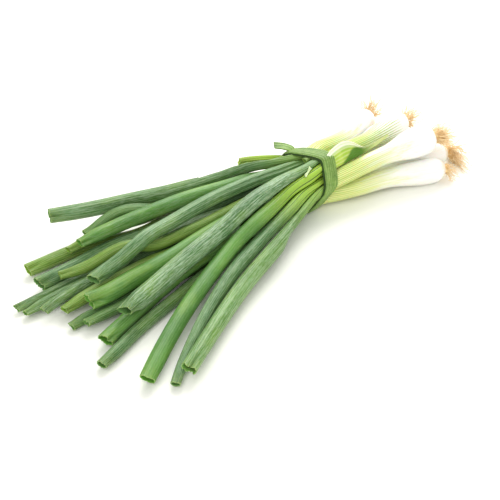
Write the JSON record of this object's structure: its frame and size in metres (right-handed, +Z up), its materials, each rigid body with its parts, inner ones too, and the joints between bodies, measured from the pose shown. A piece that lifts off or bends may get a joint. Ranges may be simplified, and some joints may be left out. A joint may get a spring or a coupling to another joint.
{
  "type": "spring onion bunch",
  "caption": "Bunch of spring onions lying on its side, white bulbs with root tufts at one end and hollow green leaves fanning out at the other, tied round the necks with a flattened leaf.",
  "frame": {"origin": "middle of the flat underside of the tie, on the surface that the bunch lies on", "axes": "+X along the necks from the tie to the bulbs and roots, -X to the cut leaves, +Z up from the surface, +Y across the bunch"},
  "size_m": [0.3997, 0.2016, 0.0464],
  "materials": {
    "deep_green_leaf": "satin leaf with fine lengthwise veins",
    "bright_green_leaf": "satin leaf with fine lengthwise veins",
    "blue_green_leaf": "satin leaf with a whitish bloom",
    "yellow_green_leaf": "satin leaf with fine lengthwise veins",
    "olive_leaf": "satin leaf, older and yellower",
    "pale_leaf": "satin, pale yellow-green",
    "bulb_and_neck": "moist, glossy white to pale green, finely striped",
    "root_fibre": "dull tan fibres",
    "tie_leaf": "satin leaf pressed flat"
  },
  "bodies": {
    "root": {"onion_1": "bulb_and_neck", "onion_2": "bulb_and_neck", "onion_3": "bulb_and_neck", "onion_4": "bulb_and_neck", "onion_5": "bulb_and_neck", "onion_6": "bulb_and_neck", "onion_7": "bulb_and_neck", "onion_1_roots": "root_fibre", "onion_2_roots": "root_fibre", "onion_3_roots": "root_fibre", "onion_4_roots": "root_fibre", "onion_5_roots": "root_fibre", "onion_6_roots": "root_fibre", "onion_7_roots": "root_fibre", "onion_1_leaf_1": "deep_green_leaf", "onion_1_leaf_2": "deep_green_leaf", "onion_1_leaf_3": "deep_green_leaf", "onion_2_leaf_1": "blue_green_leaf", "onion_2_leaf_2": "yellow_green_leaf", "onion_2_leaf_3": "bright_green_leaf", "onion_3_leaf_1": "blue_green_leaf", "onion_3_leaf_2": "bright_green_leaf", "onion_3_leaf_3": "olive_leaf", "onion_4_leaf_1": "deep_green_leaf", "onion_4_leaf_2": "bright_green_leaf", "onion_4_leaf_3": "blue_green_leaf", "onion_4_stub": "pale_leaf", "onion_5_leaf_1": "blue_green_leaf", "onion_5_leaf_2": "bright_green_leaf", "onion_5_leaf_3": "olive_leaf", "onion_6_leaf_1": "deep_green_leaf", "onion_6_leaf_2": "deep_green_leaf", "onion_6_leaf_3": "deep_green_leaf", "onion_7_leaf_1": "olive_leaf", "onion_7_leaf_2": "olive_leaf", "onion_7_leaf_3": "deep_green_leaf", "tie_leaf": "tie_leaf"}
  },
  "joints": []
}
